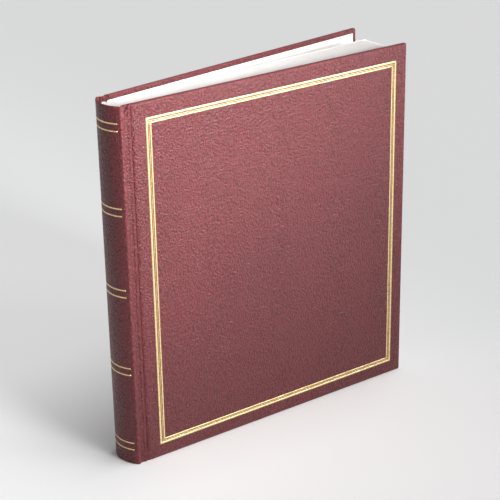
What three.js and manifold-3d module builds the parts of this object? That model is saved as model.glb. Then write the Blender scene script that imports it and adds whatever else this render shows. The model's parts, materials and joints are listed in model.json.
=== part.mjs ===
// A bound stamp album: a padded leatherette case with a rounded spine, and inside it sixteen card
// stock leaves with pocket strips on both faces, glassine interleaves and white endpapers.
// Millimetres, +Z up. The album stands on its tail edge, a little open: the spine is towards -X,
// the fore edge towards +X and the front cover towards -Y. The origin is the centre of its footprint.
//
// Every piece is drawn closed, in "album" coordinates: x is measured from the spine's shoulders
// towards the fore edge, and y from the middle of the leaves. Each hinged piece then turns about its
// own hinge to the resting pose. A `side` is -1 for the front of the album and +1 for the back.

import * as THREE from "three";
import { mergeVertices } from "three/addons/utils/BufferGeometryUtils.js";
import Module from "manifold-3d";

const wasm = await Module();
wasm.setup();

// ---------------------------------------------------------------------------
// Driving dimensions
// ---------------------------------------------------------------------------

// Case
const coverHeight = 320;
const coverWidth = 292.5; // spine shoulder to fore edge
const restOpening = { front: 1.5, back: 5.6 }; // degrees that each cover stands open at rest

// Materials, by thickness
const skin = 0.4; // leatherette
const pad = 0.9; // foam under the leatherette
const board = 2.2; // greyboard
const endpaper = 0.18;
const card = 0.5; // stock leaf
const glassine = 0.1;
const inlayCard = 0.8; // stiffener in the spine
const liningPaper = 0.5; // cloth and paper glued to the back of the leaves
const hingeCloth = 0.3;
const foil = 0.08;
const film = 0.1; // pocket strips

// Clearances
const glue = 0.04; // glue line between two layers
const hollow = 0.15; // loose fit between the spine and the leaves it covers
const leafClearance = 0.3; // between a flyleaf and the cover, closed
const sheetClearance = 0.26; // between a pocket strip and the glassine next to it, closed
const endClearance = 0.41; // more room for a flyleaf, which has no glassine next to it
const splitGap = 0.4; // where the case is divided along a hinge line

// Case details
const turnIn = 15; // leatherette folded over the edges of the boards
const edgeRadius = 1.5; // padded edge along the fore edge
const spineRise = 7; // how far the round spine stands out past its shoulders
const shoulderDrop = 0.4; // shoulders lie this far below the covers' faces
const boardStart = 11.3; // shoulder to the board's edge: the width of the joint
const faceStart = 13.5; // shoulder to where the cover is full thickness
const hingeX = 5.5; // the line that the joint folds along
const hingeDepth = 0.2; // that line, below the cover's outer face
const pastedownStart = 8; // shoulder to the endpaper's edge, past the board's
const pastedownMargin = 4; // leatherette left showing round the endpaper

// Foil border on the front cover, counted from the outside in
const borderInset = { spine: 22.3, foreEdge: 12, head: 13.4, tail: 12 };
const borderLines = [
  { name: "front_border_outer_line", inset: 0, width: 1.9 },
  { name: "front_border_hairline", inset: 2.6, width: 0.5 },
  { name: "front_border_inner_line", inset: 3.8, width: 1.3 },
];

// Foil lines across the spine, in pairs
const spinePairs = 5;
const spinePairPitch = 71.4;
const spineLineGap = 6.3; // between the two lines of a pair, middle to middle
const spineLineWidth = 1.2;
const spineLineMargin = 3; // from a line's end to the shoulder
const foilRecess = 0.02; // stamped foil lies this far below the leatherette

// Leaves
const leafCount = 16;
const headSquare = 5; // covers stand out past the leaves at head and tail
const foreSquare = 6.5; // and at the fore edge
const guardDepth = 12; // shoulder to the fold of the middle leaf
const guardFan = 5; // the outer leaves fold this much nearer the spine
const guardGap = 0.35; // leaf to the guards it folds from
const leafOpening = { front: 0.46, back: 0.26 }; // share of its cover's angle that an outermost leaf takes
const flyleafOpening = { front: 0.5, back: 0.32 }; // and that a flyleaf takes
const middleSheetOffset = 0.25; // leaf pitches: the middle interleaf's share, as it follows the back cover
const interleafInset = 2; // glassine is cut this much smaller than the leaves

// Pocket strips on each face of a leaf
const pocketRows = 8;
const pocketHeight = 30;
const pocketWeld = 3; // glued foot of a strip
const pocketMouth = 0.15; // how far a strip's upper edge stands off the card
const pocketSideMargin = 14; // leaf fold to the strips
const pocketForeMargin = 4; // strips to the leaf's fore edge

// Facets along the round spine
const spineFacets = 20;

// ---------------------------------------------------------------------------
// Derived places
// ---------------------------------------------------------------------------

// From the middle of the leaves out to a cover's face, layer by layer.
const leafPitch = card + 2 * (film + pocketMouth) + glassine + 2 * sheetClearance;
const flyleafY = (leafCount / 2) * leafPitch + endClearance;
const pastedownInnerY = flyleafY + endpaper / 2 + leafClearance;
const pastedownTopY = pastedownInnerY + endpaper;
const turnInInnerY = pastedownTopY + glue;
const turnInTopY = turnInInnerY + skin;
const boardTopY = turnInTopY + glue + board;
const padTopY = boardTopY + glue + pad;
const faceY = padTopY + glue + skin;
const hingeY = faceY - hingeDepth;

const shoulderY = faceY - shoulderDrop;
const spineRadius = (shoulderY ** 2 + spineRise ** 2) / (2 * spineRise);
const spineCentreX = spineRadius - spineRise;
const spineHalfAngle = Math.asin(shoulderY / spineRadius);
const inlayRadius = spineRadius - skin - glue;
const spineTurnInRadius = inlayRadius - inlayCard - glue;
const liningRadius = spineTurnInRadius - skin - hollow;
const guardRadius = liningRadius - liningPaper - glue;

const guardHalf = flyleafY - endpaper / 2 - glue;
const leafTail = headSquare;
const leafHead = coverHeight - headSquare;
const leafForeX = coverWidth - foreSquare;

// The fold of a leaf that lies y from the middle: the fold line curves back towards the spine.
const foldX = (y) => guardDepth - guardFan * (y / flyleafY) ** 2;

const half = (side) => (side < 0 ? "front" : "back");

// ---------------------------------------------------------------------------
// Materials
// ---------------------------------------------------------------------------

const finish = (color, roughness, metalness = 0) => new THREE.MeshStandardMaterial({ color, roughness, metalness });
const leatherette = finish(0x6e2430, 0.5);
const goldFoil = finish(0xd8b45a, 0.3, 1);
const greyboard = finish(0x9a958c, 0.9);
const foam = finish(0xe6e2d6, 0.95);
const paper = finish(0xf6f3ea, 0.85);
const glassinePaper = finish(0xf0efe8, 0.4);
const cloth = finish(0xe9e4d6, 0.95);

// ---------------------------------------------------------------------------
// Geometry helpers
// ---------------------------------------------------------------------------

// A closed geometry as a solid that can be joined and cut.
function solidOf(geometry) {
  const bare = new THREE.BufferGeometry().setAttribute("position", geometry.getAttribute("position"));
  if (geometry.index) bare.setIndex(geometry.index);
  const merged = mergeVertices(bare, 1e-4);
  return new wasm.Manifold(
    new wasm.Mesh({
      numProp: 3,
      vertProperties: new Float32Array(merged.getAttribute("position").array),
      triVerts: new Uint32Array(merged.index.array),
    }),
  );
}

function geometryOf(solid) {
  const mesh = solid.getMesh();
  const geometry = new THREE.BufferGeometry();
  geometry.setAttribute("position", new THREE.BufferAttribute(new Float32Array(mesh.vertProperties), 3));
  geometry.setIndex(new THREE.BufferAttribute(new Uint32Array(mesh.triVerts), 1));
  return geometry;
}

const join = (first, ...others) =>
  geometryOf(others.reduce((whole, other) => whole.add(solidOf(other)), solidOf(first)));
const cut = (first, ...tools) =>
  geometryOf(tools.reduce((whole, tool) => whole.subtract(solidOf(tool)), solidOf(first)));

// A block between two corners.
function block(x0, x1, y0, y1, z0, z1) {
  const geometry = new THREE.BoxGeometry(x1 - x0, Math.abs(y1 - y0), z1 - z0);
  return geometry.translate((x0 + x1) / 2, (y0 + y1) / 2, (z0 + z1) / 2);
}

// A plan outline in x and y, raised from z0 to z1.
function upright(shape, z0, z1) {
  const options = { depth: z1 - z0, bevelEnabled: false, curveSegments: spineFacets / 2 };
  return new THREE.ExtrudeGeometry(shape, options).translate(0, 0, z0);
}

// An outline in x and z, given thickness from y0 up to y1.
function standing(shape, y0, y1) {
  const geometry = new THREE.ExtrudeGeometry(shape, { depth: y1 - y0, bevelEnabled: false });
  return geometry.rotateX(Math.PI / 2).translate(0, y1, 0);
}

// An outline in y and z, run along x from x0 to x1.
function running(shape, x0, x1) {
  const geometry = new THREE.ExtrudeGeometry(shape, { depth: x1 - x0, bevelEnabled: false });
  const axes = new THREE.Matrix4().makeBasis(
    new THREE.Vector3(0, 1, 0),
    new THREE.Vector3(0, 0, 1),
    new THREE.Vector3(1, 0, 0),
  );
  return geometry.applyMatrix4(axes).translate(x0, 0, 0);
}

// Part of a ring about the centre of the round spine, seen from above.
function spineBand(outer, inner, halfAngle) {
  const shape = new THREE.Shape();
  shape.absarc(spineCentreX, 0, outer, Math.PI - halfAngle, Math.PI + halfAngle, false);
  shape.absarc(spineCentreX, 0, inner, Math.PI + halfAngle, Math.PI - halfAngle, true);
  shape.closePath();
  return shape;
}

// A strip of the given thickness to the right of a line of points.
function strip(points, thickness) {
  const inner = points.map((point, i) => {
    const before = points[Math.max(i - 1, 0)];
    const after = points[Math.min(i + 1, points.length - 1)];
    const into = i > 0 ? point.clone().sub(before).normalize() : after.clone().sub(point).normalize();
    const out = i < points.length - 1 ? after.clone().sub(point).normalize() : into;
    const normal = into.clone().add(out).normalize();
    const reach = thickness / Math.max(normal.dot(into), 0.3);
    return new THREE.Vector2(point.x + normal.y * reach, point.y - normal.x * reach);
  });
  return new THREE.Shape([...points, ...inner.reverse()]);
}

// The same points on the front or the back of the album.
const onSide = (points, side) => points.map((p) => new THREE.Vector2(p.x, p.y * side));
const span = (side, low, high) => (side > 0 ? [low, high] : [-high, -low]);

function piece(name, geometry, material) {
  const mesh = new THREE.Mesh(geometry, material);
  mesh.name = name;
  return mesh;
}

// Pieces that turn together about an upright hinge at (x, y), opened by an angle in degrees.
function hinged(x, y, side, degrees, ...pieces) {
  const group = new THREE.Group();
  group.position.set(x, y, 0);
  group.rotation.z = side * THREE.MathUtils.degToRad(degrees);
  for (const each of pieces) {
    each.position.set(-x, -y, 0);
    group.add(each);
  }
  return group;
}

// ---------------------------------------------------------------------------
// Spine
// ---------------------------------------------------------------------------

// The joint's outer line on the spine's half: a rounded shoulder, then a shallow dip.
const spineJointLine = new THREE.SplineCurve([
  new THREE.Vector2(0, shoulderY),
  new THREE.Vector2(1.2, shoulderY + 0.3),
  new THREE.Vector2(3.2, shoulderY - 0.4),
  new THREE.Vector2(hingeX - splitGap / 2, shoulderY),
]).getPoints(8);

function spineOutline() {
  const arc = new THREE.EllipseCurve(
    spineCentreX, 0, spineRadius, spineRadius,
    Math.PI + spineHalfAngle, Math.PI - spineHalfAngle, true,
  ).getPoints(spineFacets);
  const front = onSide(spineJointLine, -1).reverse();
  return [...front.slice(0, -1), ...arc, ...spineJointLine.slice(1)];
}

// Heights of the foil lines: pairs set out evenly about the middle of the spine.
const spineLineHeights = [];
for (let pair = 0; pair < spinePairs; pair += 1) {
  const middle = coverHeight / 2 + (pair - (spinePairs - 1) / 2) * spinePairPitch;
  spineLineHeights.push(middle - spineLineGap / 2, middle + spineLineGap / 2);
}

const spineLineHalfAngle = spineHalfAngle - spineLineMargin / spineRadius;
const foilTopRadius = spineRadius - foilRecess;

function spineCover() {
  const sheet = upright(strip(spineOutline(), skin), 0, coverHeight);
  const foldedIn = spineBand(spineTurnInRadius, spineTurnInRadius - skin, spineHalfAngle);
  const rim = spineBand(spineRadius - skin / 2, spineTurnInRadius - skin, spineHalfAngle);
  const whole = join(
    sheet,
    upright(foldedIn, 0, turnIn),
    upright(foldedIn, coverHeight - turnIn, coverHeight),
    upright(rim, 0, skin),
    upright(rim, coverHeight - skin, coverHeight),
  );
  const groove = spineBand(spineRadius + skin, foilTopRadius - foil - glue, spineLineHalfAngle + glue / spineRadius);
  const reach = spineLineWidth / 2 + glue;
  return cut(whole, ...spineLineHeights.map((z) => upright(groove, z - reach, z + reach)));
}

function spineLine(z) {
  const band = spineBand(foilTopRadius, foilTopRadius - foil, spineLineHalfAngle);
  return upright(band, z - spineLineWidth / 2, z + spineLineWidth / 2);
}

const spineInlay = () =>
  upright(
    spineBand(inlayRadius, inlayRadius - inlayCard, spineHalfAngle - glue),
    skin + glue,
    coverHeight - skin - glue,
  );

const liningHalfAngle = Math.asin(guardHalf / guardRadius);

const spineLining = () =>
  upright(spineBand(liningRadius, liningRadius - liningPaper, liningHalfAngle), leafTail, leafHead);

// The glued stubs that the leaves fold from: round behind, and curved towards the leaves in front.
function guardBlock() {
  const shape = new THREE.Shape();
  shape.absarc(spineCentreX, 0, guardRadius, Math.PI - liningHalfAngle, Math.PI + liningHalfAngle, false);
  for (let i = -spineFacets / 2; i <= spineFacets / 2; i += 1) {
    const y = (i / (spineFacets / 2)) * guardHalf;
    shape.lineTo(foldX(y) - guardGap, y);
  }
  shape.closePath();
  return upright(shape, leafTail, leafHead);
}

// The cloth that ties the leaves to a cover, on the spine's half of the joint.
function hingeClothStrip(side) {
  const [y0, y1] = span(side, turnInInnerY, turnInInnerY + hingeCloth);
  return block(skin, hingeX - splitGap / 2, y0, y1, leafTail, leafHead);
}

// ---------------------------------------------------------------------------
// Covers
// ---------------------------------------------------------------------------

// The cover's outer line: from the hinge, through the groove, over the board and round its fore edge.
function coverLine() {
  const joint = new THREE.SplineCurve([
    new THREE.Vector2(hingeX + splitGap / 2, shoulderY),
    new THREE.Vector2(7.1, shoulderY - 0.4),
    new THREE.Vector2(8.8, shoulderY - 1),
    new THREE.Vector2(10.6, shoulderY - 0.3),
    new THREE.Vector2(12.2, faceY - 0.1),
    new THREE.Vector2(faceStart, faceY),
  ]).getPoints(20);
  const edge = new THREE.EllipseCurve(
    coverWidth - edgeRadius, faceY - edgeRadius, edgeRadius, edgeRadius, Math.PI / 2, 0, true,
  ).getPoints(6);
  return [...joint, ...edge];
}

function coverSkin(side) {
  const line = coverLine();
  const inner = [
    new THREE.Vector2(coverWidth, turnInInnerY),
    new THREE.Vector2(coverWidth - turnIn, turnInInnerY),
  ];
  const wrap = strip([...line, ...inner], skin);
  const overBoard = line.filter((point) => point.x > boardStart);
  const rim = [
    ...overBoard,
    new THREE.Vector2(coverWidth, turnInInnerY),
    new THREE.Vector2(overBoard[0].x, turnInInnerY),
  ];
  const place = (shape) => new THREE.Shape(onSide(shape.getPoints(), side));
  const rimShape = new THREE.Shape(onSide(rim, side));
  const [y0, y1] = span(side, turnInInnerY, turnInTopY);
  const foldEnd = coverWidth - skin / 2;
  return join(
    upright(place(wrap), 0, coverHeight),
    upright(rimShape, 0, skin),
    upright(rimShape, coverHeight - skin, coverHeight),
    block(boardStart, foldEnd, y0, y1, skin / 2, turnIn),
    block(boardStart, foldEnd, y0, y1, coverHeight - turnIn, coverHeight - skin / 2),
  );
}

function coverBoard(side) {
  const [y0, y1] = span(side, boardTopY - board, boardTopY);
  const fore = coverWidth - skin - glue;
  return block(boardStart, fore, y0, y1, skin + glue, coverHeight - skin - glue);
}

function coverPad(side) {
  const [y0, y1] = span(side, padTopY - pad, padTopY);
  const fore = coverWidth - edgeRadius - glue;
  return block(faceStart, fore, y0, y1, skin + glue, coverHeight - skin - glue);
}

function pastedown(side) {
  const [y0, y1] = span(side, pastedownInnerY, pastedownTopY);
  const fore = coverWidth - pastedownMargin;
  return block(pastedownStart, fore, y0, y1, pastedownMargin, coverHeight - pastedownMargin);
}

// A rectangular frame in x and z: one line of the foil border, grown outwards and inwards by `ease`.
function borderFrame(line, ease) {
  const x0 = borderInset.spine + line.inset - ease;
  const x1 = coverWidth - borderInset.foreEdge - line.inset + ease;
  const z0 = borderInset.tail + line.inset - ease;
  const z1 = coverHeight - borderInset.head - line.inset + ease;
  const inner = line.width + 2 * ease;
  const rectangle = (path, a, b, c, d) => path.moveTo(a, b).lineTo(c, b).lineTo(c, d).lineTo(a, d).lineTo(a, b);
  const shape = rectangle(new THREE.Shape(), x0, z0, x1, z1);
  shape.holes.push(rectangle(new THREE.Path(), x0 + inner, z0 + inner, x1 - inner, z1 - inner));
  return shape;
}

const foilTopY = faceY - foilRecess;
const borderLine = (line) => standing(borderFrame(line, 0), -foilTopY, -foilTopY + foil);
const borderGroove = (line) => standing(borderFrame(line, glue), -faceY - skin, -foilTopY + foil + glue);

function frontCover() {
  const stamped = cut(coverSkin(-1), ...borderLines.map(borderGroove));
  return hinged(
    hingeX, -hingeY, -1, restOpening.front,
    piece("front_leatherette", stamped, leatherette),
    piece("front_pad", coverPad(-1), foam),
    piece("front_board", coverBoard(-1), greyboard),
    piece("front_pastedown", pastedown(-1), paper),
    ...borderLines.map((line) => piece(line.name, borderLine(line), goldFoil)),
  );
}

function backCover() {
  return hinged(
    hingeX, hingeY, 1, restOpening.back,
    piece("back_leatherette", coverSkin(1), leatherette),
    piece("back_pad", coverPad(1), foam),
    piece("back_board", coverBoard(1), greyboard),
    piece("back_pastedown", pastedown(1), paper),
  );
}

// ---------------------------------------------------------------------------
// Leaves
// ---------------------------------------------------------------------------

// How many degrees a sheet stands open at rest: a share of its cover's angle, which grows with the
// sheet's distance from the middle. `place` counts leaf pitches from there.
const outermostPlace = (leafCount - 1) / 2;
const leafRest = (side, place) =>
  (restOpening[half(side)] * leafOpening[half(side)] * Math.abs(place)) / outermostPlace;

// One face of a leaf from tail to head: each strip is glued at its foot and open along its top.
function pocketFace(face) {
  const pitch = (leafHead - leafTail) / pocketRows;
  const points = [];
  for (let row = 0; row < pocketRows; row += 1) {
    const foot = leafTail + (row + 0.5) * pitch - pocketHeight / 2;
    const top = foot + pocketHeight;
    points.push(
      new THREE.Vector2(face, foot),
      new THREE.Vector2(face + film, foot),
      new THREE.Vector2(face + film + pocketMouth, top),
      new THREE.Vector2(face + pocketMouth, top),
      new THREE.Vector2(face, foot + pocketWeld),
    );
  }
  return points;
}

function stockLeaf(y) {
  const fold = foldX(y);
  const faceOffset = card / 2;
  const face = [
    new THREE.Vector2(faceOffset, leafTail),
    ...pocketFace(faceOffset),
    new THREE.Vector2(faceOffset, leafHead),
  ];
  const otherFace = face.map((point) => new THREE.Vector2(-point.x, point.y)).reverse();
  const pockets = running(
    new THREE.Shape([...face, ...otherFace]),
    fold + pocketSideMargin,
    leafForeX - pocketForeMargin,
  );
  const sheetOfCard = block(fold, leafForeX, -faceOffset, faceOffset, leafTail, leafHead);
  return join(sheetOfCard, pockets).translate(0, y, 0);
}

function sheet(y, thickness, inset) {
  const fold = foldX(y);
  return block(fold, leafForeX - inset, y - thickness / 2, y + thickness / 2, leafTail + inset, leafHead - inset);
}

const twoDigits = (number) => String(number).padStart(2, "0");

function leaf(number) {
  const place = number - (leafCount + 1) / 2;
  const y = place * leafPitch;
  const side = Math.sign(place);
  const mesh = piece(`leaf_${twoDigits(number)}`, stockLeaf(y), paper);
  return hinged(foldX(y), y, side, leafRest(side, place), mesh);
}

// The interleaf behind leaf `number`. The middle one follows the back cover a little.
function interleaf(number) {
  const place = number - leafCount / 2;
  const y = place * leafPitch;
  const side = Math.sign(place) || 1;
  const mesh = piece(`interleaf_${twoDigits(number)}`, sheet(y, glassine, interleafInset), glassinePaper);
  return hinged(foldX(y), y, side, leafRest(side, place || middleSheetOffset), mesh);
}

function flyleaf(side) {
  const y = side * flyleafY;
  const opening = restOpening[half(side)] * flyleafOpening[half(side)];
  return hinged(foldX(y), y, side, opening, piece(`${half(side)}_flyleaf`, sheet(y, endpaper, 0), paper));
}

// ---------------------------------------------------------------------------
// Assembly
// ---------------------------------------------------------------------------

const album = new THREE.Group();
album.name = "stamp_album";

album.add(
  piece("spine_cover", spineCover(), leatherette),
  piece("spine_inlay", spineInlay(), greyboard),
  piece("spine_lining", spineLining(), cloth),
  piece("guard_block", guardBlock(), paper),
  piece("front_hinge_cloth", hingeClothStrip(-1), cloth),
  piece("back_hinge_cloth", hingeClothStrip(1), cloth),
);
spineLineHeights.forEach((z, i) => album.add(piece(`spine_line_${twoDigits(i + 1)}`, spineLine(z), goldFoil)));

album.add(frontCover(), backCover(), flyleaf(-1), flyleaf(1));
for (let number = 1; number <= leafCount; number += 1) album.add(leaf(number));
for (let number = 1; number < leafCount; number += 1) album.add(interleaf(number));

// The origin is under the middle of the album as it stands.
const middle = new THREE.Box3().setFromObject(album).getCenter(new THREE.Vector3());
album.position.set(-middle.x, -middle.y, 0);

export default album;
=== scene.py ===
# %% [markdown]
# # A bound stamp album
#
# The album is a padded leatherette case round a block of card leaves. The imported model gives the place
# and the size of every part; this lesson makes the parts look like what they are made of. Each new
# piece is modelled with the album shut, where everything is square, and is then turned about its own
# fold to the resting pose.

# %% Load the frame
import json
import math

import bmesh
import bpy
from mathutils import Matrix, Vector

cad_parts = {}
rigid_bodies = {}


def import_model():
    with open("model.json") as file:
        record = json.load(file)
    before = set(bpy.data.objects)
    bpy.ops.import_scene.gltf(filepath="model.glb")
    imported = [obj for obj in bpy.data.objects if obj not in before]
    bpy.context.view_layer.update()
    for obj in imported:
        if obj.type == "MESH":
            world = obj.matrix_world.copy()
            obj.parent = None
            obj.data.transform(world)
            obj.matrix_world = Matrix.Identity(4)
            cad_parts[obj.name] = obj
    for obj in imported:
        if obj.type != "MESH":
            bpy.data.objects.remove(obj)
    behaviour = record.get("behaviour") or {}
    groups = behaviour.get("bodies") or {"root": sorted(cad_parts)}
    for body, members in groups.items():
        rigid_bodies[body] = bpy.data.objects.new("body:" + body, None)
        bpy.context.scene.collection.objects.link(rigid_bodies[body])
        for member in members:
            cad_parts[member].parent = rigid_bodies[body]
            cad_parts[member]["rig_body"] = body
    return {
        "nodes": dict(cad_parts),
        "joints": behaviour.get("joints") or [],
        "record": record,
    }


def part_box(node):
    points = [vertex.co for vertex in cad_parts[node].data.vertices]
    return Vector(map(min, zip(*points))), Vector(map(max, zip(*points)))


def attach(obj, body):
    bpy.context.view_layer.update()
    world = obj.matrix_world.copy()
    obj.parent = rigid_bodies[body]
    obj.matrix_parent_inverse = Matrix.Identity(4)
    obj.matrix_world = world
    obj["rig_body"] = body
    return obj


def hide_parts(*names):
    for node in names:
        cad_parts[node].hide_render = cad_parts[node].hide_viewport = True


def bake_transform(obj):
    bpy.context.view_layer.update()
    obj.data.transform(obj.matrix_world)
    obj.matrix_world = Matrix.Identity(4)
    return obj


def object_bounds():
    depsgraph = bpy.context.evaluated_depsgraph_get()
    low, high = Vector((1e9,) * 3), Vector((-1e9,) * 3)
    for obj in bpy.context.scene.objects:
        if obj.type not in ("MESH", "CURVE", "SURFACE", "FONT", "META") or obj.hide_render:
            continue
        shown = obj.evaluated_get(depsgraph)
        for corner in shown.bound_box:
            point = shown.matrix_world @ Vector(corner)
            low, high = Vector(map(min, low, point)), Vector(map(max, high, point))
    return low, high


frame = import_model()
cad_low, cad_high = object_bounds()
MM = 0.001
print("album:", [round(length / MM) for length in cad_high - cad_low], "mm")

# %% [markdown]
# Every cover and leaf hangs on a fold. The record says where each fold is and how far a cover can
# still be shut, which is how far it stands open now. A leaf takes a share of its cover's angle. With
# the pivot and the turn of each body, a part can be measured as it is when the album is shut.

# %% The folds of the album
joints = {joint["name"]: joint for joint in frame["joints"]}
shares = {c["joint"]: (c["follows"], c["ratio"]) for c in frame["record"]["behaviour"]["couplings"]}
SIDES = {"front": -1, "back": 1}
folds = {"binding": (Vector(), 0.0)}
for joint in frame["joints"]:
    cover_name, share = shares.get(joint["name"], (joint["name"], 1))
    degrees_open = -joints[cover_name]["range_deg"][0] * share
    folds[joint["child"]] = (Vector(joint["pos_m"]), joint["axis"][2] * math.radians(degrees_open))
hinge = {side: folds[f"{side}_cover"][0] for side in SIDES}
print(len(folds) - 1, "folds; degrees that each cover can still shut:")
print([joints[f"{side}_cover_hinge"]["range_deg"][0] for side in SIDES])


# %% [markdown]
# A part is measured shut by turning its points back about its fold. From a few such measures come the
# planes that the rest is drawn from: the middle of the album, its outer faces, and its shoulders, where
# the round of the spine meets the joints.

# %% Measure a part with the album shut
def turned(body, direction):
    """The turn of a body about its fold: 1 opens it from shut to rest, and -1 shuts it."""
    pivot, angle = folds[body]
    turn = Matrix.Rotation(direction * angle, 4, "Z")
    return Matrix.Translation(pivot) @ turn @ Matrix.Translation(-pivot)


def shut_box(node):
    """The lowest and highest corner of a CAD node, with the album shut."""
    part = frame["nodes"][node]
    shut = turned(part["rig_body"], -1)
    points = [shut @ vertex.co for vertex in part.data.vertices]
    low = Vector([min(point[axis] for point in points) for axis in range(3)])
    high = Vector([max(point[axis] for point in points) for axis in range(3)])
    return low, high


shoulder_to_hinge = 5.5 * MM
cover_box = {side: shut_box(f"{side}_leatherette") for side in SIDES}
middle_y = (hinge["front"].y + hinge["back"].y) / 2
face_y = cover_box["back"][1].y - middle_y
tail_z, head_z = cad_low.z, cad_high.z
shoulder_x = hinge["front"].x - shoulder_to_hinge
spine_rise = shoulder_x - cad_low.x
print("shut, the album is", round(2 * face_y / MM, 2), "mm thick")
print("the spine stands out by", round(spine_rise / MM, 2), "mm")

# %% [markdown]
# The camera looks from the front and the spine, a little above. A long lens from a good distance
# keeps the upright edges nearly parallel. It is made early, so that each piece can be judged in it.

# %% The camera
camera_data = bpy.data.cameras.new("camera")
camera_data.lens = 109.3
camera_data.sensor_width = 36
camera = bpy.data.objects.new("camera", camera_data)
bpy.context.scene.collection.objects.link(camera)
camera.location = (-0.7345, -0.9885, 0.6776)
camera_target = Vector((-0.0012, -0.0028, 0.1531))
camera_roll = math.radians(1.07)
facing = (camera_target - camera.location).to_track_quat("-Z", "Y").to_matrix().to_4x4()
camera.rotation_euler = (facing @ Matrix.Rotation(-camera_roll, 4, "Z")).to_euler()
bpy.context.scene.camera = camera
print("camera at", [round(place, 3) for place in camera.location])


# %% [markdown]
# The album stands on a pale floor: one very large plane under a pale sky. The studio light is soft. The
# room is brightest in front, towards the fore edge, and soft daylight from above evens out the floor.
# Two panels stand in front, towards the fore edge. They are aimed above the head of the spine in narrow
# cones, so their light falls off towards the tail. The spine faces away from them and stays in shade.

# %% Floor and light
def deselect():
    bpy.ops.object.select_all(action="DESELECT")


def plain_material(name, colour, roughness):
    material = bpy.data.materials.new(name)
    material.use_nodes = True
    shader = material.node_tree.nodes["Principled BSDF"]
    shader.inputs["Base Color"].default_value = (*colour, 1)
    shader.inputs["Roughness"].default_value = roughness
    return material


deselect()
bpy.ops.mesh.primitive_plane_add(size=12, location=(0, 0, 0))
floor = bpy.context.object
floor.name = "floor"
floor.data.materials.append(plain_material("floor_paint", (0.95, 0.95, 0.95), 0.9))


def softbox(name, place, size, watts, target, spread):
    """A square panel of light that faces the target, with a grid that keeps its light in a cone."""
    light = bpy.data.lights.new(name, "AREA")
    light.shape = "SQUARE"
    light.size = size
    light.energy = watts
    light.spread = math.radians(spread)
    lamp = bpy.data.objects.new(name, light)
    lamp.location = place
    lamp.rotation_euler = (Vector(target) - lamp.location).to_track_quat("-Z", "Y").to_euler()
    lamp.visible_camera = False
    bpy.context.scene.collection.objects.link(lamp)


def daylight(direction, strength, softness):
    """Soft light from one direction, the same everywhere."""
    light = bpy.data.lights.new("daylight", "SUN")
    light.energy = strength
    light.angle = math.radians(softness)
    lamp = bpy.data.objects.new("daylight", light)
    lamp.rotation_euler = Vector(direction).to_track_quat("Z", "Y").to_euler()
    bpy.context.scene.collection.objects.link(lamp)


def pale_room(towards, dim, bright):
    """A world that is brighter in one direction, as a room is towards its window."""
    world = bpy.data.worlds.new("pale_room")
    bpy.context.scene.world = world
    world.use_nodes = True
    tree = world.node_tree
    room = tree.nodes["Background"]
    room.inputs["Color"].default_value = (0.97, 0.98, 1.0, 1)
    looking = tree.nodes.new("ShaderNodeTexCoord")
    facing_window = tree.nodes.new("ShaderNodeVectorMath")
    facing_window.operation = "DOT_PRODUCT"
    facing_window.inputs[1].default_value = Vector(towards).normalized()
    level = tree.nodes.new("ShaderNodeMapRange")
    level.interpolation_type = "SMOOTHSTEP"
    level.inputs["To Min"].default_value = dim
    level.inputs["To Max"].default_value = bright
    tree.links.new(looking.outputs["Generated"], facing_window.inputs[0])
    tree.links.new(facing_window.outputs["Value"], level.inputs["Value"])
    tree.links.new(level.outputs["Result"], room.inputs["Strength"])


softbox("front_panel", (0.1, -1.05, 0.66), 0.5, 2.1, (-0.15, 0, 0.4), 38)
softbox("sheen_panel", (0.6, -0.85, 0.36), 0.4, 1.1, (-0.15, 0, 0.4), 50)
daylight((0.25, -0.15, 1.0), 1.65, 40)
pale_room((0.5, -0.86, 0.05), 0.2, 0.4)
bpy.context.scene.view_settings.view_transform = "Standard"
print("lights:", [light.name for light in bpy.data.lights])


# %% [markdown]
# ## Finishes
#
# Leatherette is vinyl embossed with a pebbled grain. Materials are built from nodes, and a few helpers
# keep that short: one starts a node group, which is an effect that several materials share, one adds a
# node with its values, and one makes the links.

# %% Helpers for node materials
def new_group(name, inputs, outputs):
    """A shader node group with named sockets, and its two end nodes."""
    group = bpy.data.node_groups.new(name, "ShaderNodeTree")
    for socket, kind in inputs:
        group.interface.new_socket(name=socket, in_out="INPUT", socket_type=f"NodeSocket{kind}")
    for socket, kind in outputs:
        group.interface.new_socket(name=socket, in_out="OUTPUT", socket_type=f"NodeSocket{kind}")
    return group, group.nodes.new("NodeGroupInput"), group.nodes.new("NodeGroupOutput")


def add_node(tree, kind, values=None, **settings):
    """A node with its settings made and its input values filled in."""
    node = tree.nodes.new(f"ShaderNode{kind}")
    for name, value in settings.items():
        setattr(node, name, value)
    for name, value in (values or {}).items():
        node.inputs[name].default_value = value
    return node


def link(tree, *pairs):
    for source, target in pairs:
        tree.links.new(source, target)
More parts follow.
